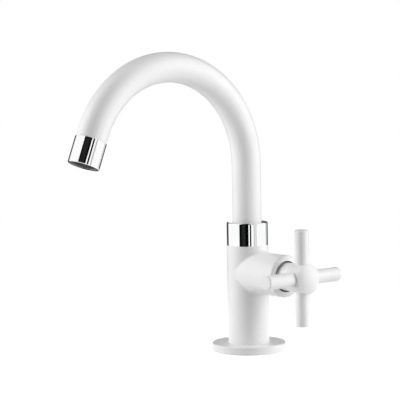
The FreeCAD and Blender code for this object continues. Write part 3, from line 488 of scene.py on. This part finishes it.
def make_moulded_plastic(name, first, second):
    """Moulded plastic with a fine mould grain and soft flow patches."""
    finish = Finish(name)
    grain = finish.use(fine_grain, "Grain", Scale=2200.0)
    flow = finish.use(slow_patches, "Patch", Scale=140.0)
    finish.colour(flow, first, second)
    finish.roughness(finish.plus(grain, flow, share=0.3), low=0.36, high=0.58)
    finish.bump(grain, depth=0.015 * MM)
    return finish.material


valve_steel = make_plain_steel("valve_steel", *ALONG_VALVE)
FINISHES = {
    "white_paint": make_white_enamel(),
    "chrome": make_bright_chrome(),
    "brass": make_turned_brass("upright_brass", *UPRIGHT),
    "steel": make_plain_steel("upright_steel", *UPRIGHT),
    "rubber": make_black_rubber(),
    "ceramic": make_lapped_ceramic(),
    "bearing_plastic": make_moulded_plastic("bearing_plastic", BEARING_PALE, BEARING_DEEP),
    "insert_plastic": make_moulded_plastic("insert_plastic", INSERT_GREY, INSERT_DEEP),
}
OWN_FINISHES = {
    "tap_body": make_body_enamel(),
    "headwork_body": make_satin_plate("valve_plate", *ALONG_VALVE),
    "spindle": make_turned_brass("valve_brass", *ALONG_VALVE),
    "spindle_clip": valve_steel,
    "handle_screw": valve_steel,
    "outlet_nipple": make_turned_brass("outlet_brass", *ALONG_JET),
}


def dress(thing, material):
    """Give an object one material."""
    thing.data.materials.clear()
    thing.data.materials.append(material)


for row in frame["record"]["subparts"]:
    node_name = row["node"]
    dress(frame["nodes"][node_name], OWN_FINISHES.get(node_name, FINISHES[row["material_slot"]]))


# Steps that the new pieces share

SHARP_ANGLE = math.radians(30)
NEAR = 0.002 * MM
LAST_MERGE = 0.0005 * MM


def draw_out(work, rim):
    """Extrude edges in place, and return the new vertices and the new edges between them."""
    made = bmesh.ops.extrude_edge_only(work, edges=rim)["geom"]
    verts = [part for part in made if isinstance(part, bmesh.types.BMVert)]
    fresh = set(verts)
    edges = [
        part for part in made
        if isinstance(part, bmesh.types.BMEdge) and fresh.issuperset(part.verts)]
    return verts, edges


def finish_piece(work, name, body, slot):
    """Merge, turn the faces outwards, mark the sharp edges and make the piece."""
    bmesh.ops.remove_doubles(work, verts=work.verts, dist=LAST_MERGE)
    bmesh.ops.recalc_face_normals(work, faces=work.faces)
    for face in work.faces:
        face.smooth = True
    for edge in work.edges:
        edge.smooth = edge.calc_face_angle(math.pi) < SHARP_ANGLE
    mesh = bpy.data.meshes.new(name)
    work.to_mesh(mesh)
    work.free()
    piece = add_to_scene(name, mesh)
    dress(piece, FINISHES[slot])
    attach(piece, body)
    return piece


# Threaded shank: a fixing thread, a relief groove and a supply thread round a bore

PIPE_PITCH = 1.814 * MM
PIPE_DEPTH = 1.16 * MM
# Outline of one turn of the thread, as shares of its depth and its pitch
THREAD_OUTLINE_SHARES = ((0.0, 0.0), (0.0, 0.12), (1.0, 0.48), (1.0, 0.64), (0.0, 1.0))
THREAD_SEGMENTS = 64
SPARE_TURNS = 2
CUT_DISTANCE = 0.0001 * MM
SHANK_BORE = 7.0 * MM
SHANK_CHAMFER = 1.0 * MM
BELOW_THREAD = 0.1 * MM
RELIEF_LOW = -34.2 * MM
RELIEF_HIGH = -32.6 * MM


def pipe_thread(outer, low, high):
    """Thread surface round Z, wound past two heights and cut flat at them."""
    work = bmesh.new()
    root = outer - PIPE_DEPTH
    start = low - PIPE_PITCH * SPARE_TURNS
    turns = math.ceil((high - low) / PIPE_PITCH) + SPARE_TURNS * 2
    points = [
        work.verts.new((root + PIPE_DEPTH * rise, 0, start + PIPE_PITCH * along))
        for rise, along in THREAD_OUTLINE_SHARES]
    edges = [work.edges.new(pair) for pair in zip(points, points[1:])]
    bmesh.ops.spin(
        work, geom=points + edges, cent=(0, 0, 0), axis=UP, dvec=UP * (PIPE_PITCH / THREAD_SEGMENTS),
        angle=turns * math.tau, steps=turns * THREAD_SEGMENTS, use_merge=False)
    bmesh.ops.remove_doubles(work, verts=work.verts, dist=NEAR)
    for height, side in ((low, "clear_inner"), (high, "clear_outer")):
        bmesh.ops.bisect_plane(
            work, geom=work.verts[:] + work.edges[:] + work.faces[:], dist=CUT_DISTANCE,
            plane_co=UP * height, plane_no=UP, **{side: True})
    mesh = bpy.data.meshes.new("thread_work")
    work.to_mesh(mesh)
    work.free()
    return mesh


def take_in(work, mesh):
    """Add a mesh to the piece in hand."""
    work.from_mesh(mesh)
    bpy.data.meshes.remove(mesh)


def open_rim(work, height):
    """Open edges of the piece at one height."""
    return [
        edge for edge in work.edges
        if edge.is_boundary and all(abs(vert.co.z - height) < NEAR for vert in edge.verts)]


def carry_on(work, rim, radius, height):
    """Draw an open rim out to a circle at another radius and height, and return the new rim."""
    verts, edges = draw_out(work, rim)
    for vert in verts:
        across = vert.co.xy.normalized() * radius
        vert.co = (across.x, across.y, height)
    return edges


def make_shank():
    """Both threads, joined at the groove between them and closed by their chamfers and the bore."""
    low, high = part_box("threaded_shank")
    outer = high.x
    root = outer - PIPE_DEPTH - BELOW_THREAD
    supply_start = low.z + SHANK_CHAMFER
    fixing_end = high.z - SHANK_CHAMFER
    work = bmesh.new()
    take_in(work, pipe_thread(outer, supply_start, RELIEF_LOW))
    take_in(work, pipe_thread(outer, RELIEF_HIGH, fixing_end))
    rim = carry_on(work, open_rim(work, supply_start), root, low.z)
    rim = carry_on(work, rim, SHANK_BORE, low.z)
    rim = carry_on(work, rim, SHANK_BORE, high.z)
    rim = carry_on(work, rim, root, high.z)
    bmesh.ops.bridge_loops(work, edges=rim + open_rim(work, fixing_end))
    rim = carry_on(work, open_rim(work, RELIEF_LOW), root, RELIEF_LOW)
    rim = carry_on(work, rim, root, RELIEF_HIGH)
    upper = [edge for edge in open_rim(work, RELIEF_HIGH) if edge not in set(rim)]
    bmesh.ops.bridge_loops(work, edges=rim + upper)
    shank = finish_piece(work, "shank_thread", "tap", "brass")
    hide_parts("threaded_shank")


make_shank()


# Cast blend that softens the corner between the column and the stub

# Across Y the body is widest at its column
COLUMN_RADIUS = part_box("tap_body")[1].y
STUB_RADIUS = 15.65 * MM
BLEND_RADIUS = 3.0 * MM
BLEND_DEPTH = 1.0 * MM
BLEND_STEPS = 360
BLEND_SEGMENTS = 24


def blend_section(turn):
    """Section at a turn round the stub: the arc of a ball that touches both walls, closed inside."""
    outward = Vector((0, math.sin(turn), math.cos(turn)))
    ball = outward * (STUB_RADIUS + BLEND_RADIUS)
    ball.x = math.sqrt((COLUMN_RADIUS + BLEND_RADIUS) ** 2 - ball.y ** 2)
    to_column = -ball.xy.normalized().to_3d()
    shares = [step / BLEND_SEGMENTS for step in range(BLEND_SEGMENTS + 1)]
    points = [ball + to_column.slerp(-outward, share) * BLEND_RADIUS for share in shares]
    inside = outward * (STUB_RADIUS - BLEND_DEPTH)
    inside.x = math.sqrt((COLUMN_RADIUS - BLEND_DEPTH) ** 2 - inside.y ** 2)
    return [point + UP * VALVE_AXIS[2] for point in points + [inside]]


def make_stub_blend():
    """Ring of such sections all the way round the stub."""
    work = bmesh.new()
    points = [work.verts.new(place) for place in blend_section(0.0)]
    edges = [work.edges.new(pair) for pair in zip(points, points[1:] + points[:1])]
    for step in range(1, BLEND_STEPS + 1):
        fresh, edges = draw_out(work, edges)
        points = [min(fresh, key=lambda vert: (vert.co - point.co).length) for point in points]
        for vert, place in zip(points, blend_section(math.tau * step / BLEND_STEPS)):
            vert.co = place
    finish_piece(work, "stub_blend", "tap", "white_paint")


make_stub_blend()


# Studio: floor, lamps and the white room that the bright parts reflect

FLOOR_RADIUS = 0.3
FLOOR_SEGMENTS = 128
# The floor lies just below the flange, so that the two share no face
FLOOR_DROP = 0.1 * MM
FLOOR_FADE_START = 0.14
FLOOR_FADE_END = 0.28
FLOOR_COLOUR = (0.7, 0.7, 0.7)
FLOOR_OWN_LIGHT = 0.6
ROOM_AMBIENT = 0.22
# Light that a wide white table beyond the floor sends up: where it starts and is full, and its level
TABLE_START = -0.15
TABLE_FULL = -0.35
TABLE_LIGHT = 1.0
HALF_TURN = 180.0
# Cards round the tap: first angle, last angle and grey, from the camera, positive to its right
LOW_CARDS = (
    (-180.0, -131.0, 0.06),
    (-46.0, -32.0, 0.003),
    (-32.0, -10.0, 0.02),
    (-10.0, 6.5, 0.001),
    (13.5, 21.5, 0.005),
    (36.0, 46.0, 0.5),
    (126.0, 146.0, 0.5),
    (146.0, 168.0, 0.01),
    (168.0, 180.0, 0.5),
)
HIGH_CARDS = (
    (-180.0, -131.0, 0.06),
    (-38.0, -27.0, 0.001),
    (-27.0, 6.0, 0.016),
    (6.0, 19.0, 0.001),
    (28.0, 39.0, 0.003),
    (50.0, 59.0, 0.45),
    (126.0, 180.0, 0.1),
)
# Slope above which a reflection meets the high cards
HIGH_CARDS_START = 0.03
# Large lamps round the tap: angle from the camera, positive to its right, and power
SOFTBOXES = {
    "left_softbox": (-88.0, 14.4),
    "right_softbox": (88.0, 9.1),
    "right_front_softbox": (60.0, 5.0),
}
SOFTBOX_DISTANCE = 1.1
SOFTBOX_HEIGHT = 0.5
SOFTBOX_WIDTH = 0.6
SOFTBOX_LENGTH = 1.3


def background_rays(tree, path):
    """One for the rays that see the background: from the camera, in reflections and through glass."""
    seen = math_node(tree, "MAXIMUM", path["Is Camera Ray"], path["Is Glossy Ray"])
    return math_node(tree, "MAXIMUM", seen, path["Is Transmission Ray"])


def make_studio_floor():
    """Pale board with a little light of its own, which turns plain white towards its edge."""
    material = bpy.data.materials.new("studio_floor")
    material.use_nodes = True
    tree = material.node_tree
    tree.nodes.clear()
    from_middle = new_node(tree, "ShaderNodeVectorMath", operation="LENGTH")
    feed(tree, new_node(tree, "ShaderNodeTexCoord").outputs["Object"], from_middle.inputs[0])
    far = spread(tree, from_middle.outputs["Value"], FLOOR_FADE_START, FLOOR_FADE_END)
    seen = background_rays(tree, new_node(tree, "ShaderNodeLightPath").outputs)
    board = new_node(tree, "ShaderNodeBsdfDiffuse")
    feed(tree, (*FLOOR_COLOUR, 1.0), board.inputs["Color"])
    glow = new_node(tree, "ShaderNodeEmission")
    feed(tree, math_node(tree, "MULTIPLY", seen, FLOOR_OWN_LIGHT), glow.inputs["Strength"])
    near = new_node(tree, "ShaderNodeAddShader")
    feed(tree, board.outputs[0], near.inputs[0])
    feed(tree, glow.outputs[0], near.inputs[1])
    white = new_node(tree, "ShaderNodeEmission")
    shown = mix_shaders(tree, math_node(tree, "MULTIPLY", far, seen), near, white)
    feed(tree, shown, new_node(tree, "ShaderNodeOutputMaterial").inputs["Surface"])
    return material


def add_floor():
    """Round floor that the tap stands on."""
    work = bmesh.new()
    lowered = Matrix.Translation(UP * -FLOOR_DROP)
    bmesh.ops.create_circle(
        work, cap_ends=True, segments=FLOOR_SEGMENTS, radius=FLOOR_RADIUS, matrix=lowered)
    mesh = bpy.data.meshes.new("floor")
    work.to_mesh(mesh)
    work.free()
    floor = add_to_scene("floor", mesh)
    dress(floor, make_studio_floor())


def add_softbox(name, azimuth, power):
    """Large lamp aimed at the middle of the tap, unseen in its bright parts."""
    lamp = bpy.data.lights.new(name, "AREA")
    lamp.shape = "RECTANGLE"
    lamp.size = SOFTBOX_WIDTH
    lamp.size_y = SOFTBOX_LENGTH
    lamp.energy = power
    outward, _ = turned_pair(TOWARDS_CAMERA, CAMERA_RIGHT, math.radians(azimuth))
    middle = (cad_bounds[0] + cad_bounds[1]) / 2
    place = middle.xy.to_3d() + outward * SOFTBOX_DISTANCE + UP * SOFTBOX_HEIGHT
    softbox = add_to_scene(name, lamp)
    softbox.location = place
    softbox.rotation_euler = (middle - place).to_track_quat("-Z", "Y").to_euler()
    softbox.visible_glossy = False


def card_ramp(tree, turn, cards):
    """White all round, broken by a row of cards."""
    ramp = new_node(tree, "ShaderNodeValToRGB")
    ramp.color_ramp.interpolation = "CONSTANT"
    stops = ramp.color_ramp.elements
    stops.remove(stops[1])
    stops[0].position = 0.0
    stops[0].color = (*WHITE, 1)
    for first, last, grey in cards:
        for angle, level in ((first, grey), (last, 1.0)):
            stop = stops.new((angle + HALF_TURN) / (HALF_TURN * 2))
            stop.color = (level, level, level, 1)
    feed(tree, turn, ramp.inputs["Fac"])
    return ramp.outputs["Color"]


def share_along(tree, way, direction):
    """How far a way points along a direction."""
    node = new_node(tree, "ShaderNodeVectorMath", operation="DOT_PRODUCT")
    feed(tree, way, node.inputs[0])
    feed(tree, direction, node.inputs[1])
    return node.outputs["Value"]


def add_room():
    """White room with cards in its reflections only, an even ambient light and light off the table."""
    world = bpy.data.worlds.new("studio_room")
    world.use_nodes = True
    bpy.context.scene.world = world
    tree = world.node_tree
    tree.nodes.clear()
    way = new_node(tree, "ShaderNodeTexCoord").outputs["Generated"]
    to_right = share_along(tree, way, CAMERA_RIGHT)
    to_camera = share_along(tree, way, TOWARDS_CAMERA)
    turn = spread(tree, math_node(tree, "ARCTAN2", to_right, to_camera), -math.pi, math.pi)
    slope = split(tree, way)["Z"]
    low_cards = card_ramp(tree, turn, LOW_CARDS)
    high_cards = card_ramp(tree, turn, HIGH_CARDS)
    high = math_node(tree, "GREATER_THAN", slope, HIGH_CARDS_START)
    cards = blend_colours(tree, high, low_cards, high_cards)
    path = new_node(tree, "ShaderNodeLightPath").outputs
    shown = new_node(tree, "ShaderNodeBackground")
    feed(tree, blend_colours(tree, path["Is Glossy Ray"], WHITE, cards), shown.inputs["Color"])
    ambient = new_node(tree, "ShaderNodeBackground")
    level = spread(tree, slope, TABLE_START, TABLE_FULL, ROOM_AMBIENT, TABLE_LIGHT)
    feed(tree, level, ambient.inputs["Strength"])
    mixed = mix_shaders(tree, background_rays(tree, path), ambient, shown)
    feed(tree, mixed, new_node(tree, "ShaderNodeOutputWorld").inputs["Surface"])


add_camera()
add_floor()
add_room()
for softbox_name, (softbox_azimuth, softbox_power) in SOFTBOXES.items():
    add_softbox(softbox_name, softbox_azimuth, softbox_power)
bpy.context.scene.view_settings.view_transform = "Standard"
